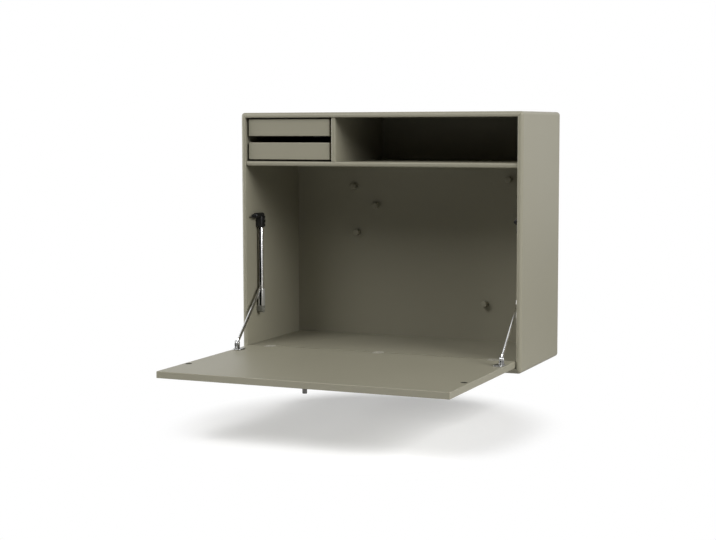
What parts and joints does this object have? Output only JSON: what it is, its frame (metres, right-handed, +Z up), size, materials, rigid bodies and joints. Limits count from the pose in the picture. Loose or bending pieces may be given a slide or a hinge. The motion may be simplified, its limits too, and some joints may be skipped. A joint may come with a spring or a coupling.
{
  "type": "wall-mounted drop-flap desk",
  "caption": "Shallow wall cabinet whose front drops level as a writing desk on stays, with slim trays and an open niche in the row above.",
  "frame": {"origin": "on the wall, midway between the two fixing holes in the back panel", "axes": "+X to the right seen from the front, +Y into the wall, +Z up"},
  "size_m": [0.696, 0.7205, 0.5855],
  "materials": {
    "lacquer": "satin",
    "lacquered_steel": "satin",
    "magnet_caps": "satin",
    "beech": "raw",
    "runner_plastic": "matt",
    "black_plastic": "satin",
    "grey_plastic": "satin",
    "chrome": "polished",
    "nickel": "satin",
    "zinc": "satin",
    "dark_steel": "satin"
  },
  "bodies": {
    "cabinet": {"top_panel": "lacquer", "bottom_panel": "lacquer", "left_side_panel": "lacquer", "right_side_panel": "lacquer", "back_panel": "lacquer", "shelf": "lacquer", "tray_divider": "lacquer", "desk_floor_board": "lacquer", "magnetic_back_sheet": "lacquered_steel", "memo_magnets": "magnet_caps", "mitre_splines": "beech", "shelf_dowels": "beech", "divider_dowels": "beech", "left_tray_runners": "runner_plastic", "right_tray_runners": "runner_plastic", "left_stay_head": "black_plastic", "right_stay_head": "black_plastic", "left_stay_foot": "grey_plastic", "right_stay_foot": "grey_plastic", "left_stay_tube": "chrome", "right_stay_tube": "chrome", "left_stay_sleeve": "chrome", "right_stay_sleeve": "chrome", "left_hinge_floor_leaf": "nickel", "middle_hinge_floor_leaf": "nickel", "right_hinge_floor_leaf": "nickel", "hinge_pins": "nickel", "hinge_floor_screws": "nickel", "wall_fixing_plates": "zinc", "runner_screws": "zinc", "floor_board_screws": "zinc", "stay_screws": "zinc", "catch_magnets": "zinc"},
    "flap": {"flap_panel": "lacquer", "flap_knob": "nickel", "knob_stud": "zinc", "strike_discs": "dark_steel", "left_flap_lug": "chrome", "right_flap_lug": "chrome", "lug_pins": "chrome", "lug_screws": "nickel", "left_hinge_flap_leaf": "nickel", "middle_hinge_flap_leaf": "nickel", "right_hinge_flap_leaf": "nickel", "hinge_flap_screws": "nickel"},
    "left_arm": {"left_stay_arm": "chrome"},
    "right_arm": {"right_stay_arm": "chrome"},
    "left_slider": {"left_stay_carriage": "grey_plastic"},
    "right_slider": {"right_stay_carriage": "grey_plastic"},
    "upper_tray": {"upper_tray_front": "lacquer", "upper_tray_left_side": "lacquer", "upper_tray_right_side": "lacquer", "upper_tray_back": "lacquer", "upper_tray_bottom": "lacquer"},
    "lower_tray": {"lower_tray_front": "lacquer", "lower_tray_left_side": "lacquer", "lower_tray_right_side": "lacquer", "lower_tray_back": "lacquer", "lower_tray_bottom": "lacquer"}
  },
  "joints": [
    {"name": "flap_hinge", "type": "hinge", "parent": "cabinet", "child": "flap", "pos_m": [0, -0.288, -0.517], "axis": [-1, 0, 0], "range_deg": [0, 90]},
    {"name": "left_arm_pivot", "type": "hinge", "parent": "flap", "child": "left_arm", "pos_m": [-0.3257, -0.368, -0.4972], "axis": [1, 0, 0], "range_deg": [0, 127.28]},
    {"name": "left_carriage_slide", "type": "slide", "parent": "cabinet", "child": "left_slider", "axis": [0, 0, 1], "range_m": [0, 0.11223]},
    {"name": "right_arm_pivot", "type": "hinge", "parent": "flap", "child": "right_arm", "pos_m": [0.3257, -0.368, -0.4972], "axis": [1, 0, 0], "range_deg": [0, 127.28]},
    {"name": "right_carriage_slide", "type": "slide", "parent": "cabinet", "child": "right_slider", "axis": [0, 0, 1], "range_m": [0, 0.11223]},
    {"name": "upper_tray_slide", "type": "slide", "parent": "cabinet", "child": "upper_tray", "axis": [0, -1, 0], "range_m": [0, 0.2]},
    {"name": "lower_tray_slide", "type": "slide", "parent": "cabinet", "child": "lower_tray", "axis": [0, -1, 0], "range_m": [0, 0.2]}
  ],
  "couplings": [
    {"joint": "left_arm_pivot", "follows": "flap_hinge", "ratio": 1.4136},
    {"joint": "left_carriage_slide", "follows": "flap_hinge", "m_per_rad": 0.071386},
    {"joint": "right_arm_pivot", "follows": "flap_hinge", "ratio": 1.4136},
    {"joint": "right_carriage_slide", "follows": "flap_hinge", "m_per_rad": 0.071386}
  ]
}
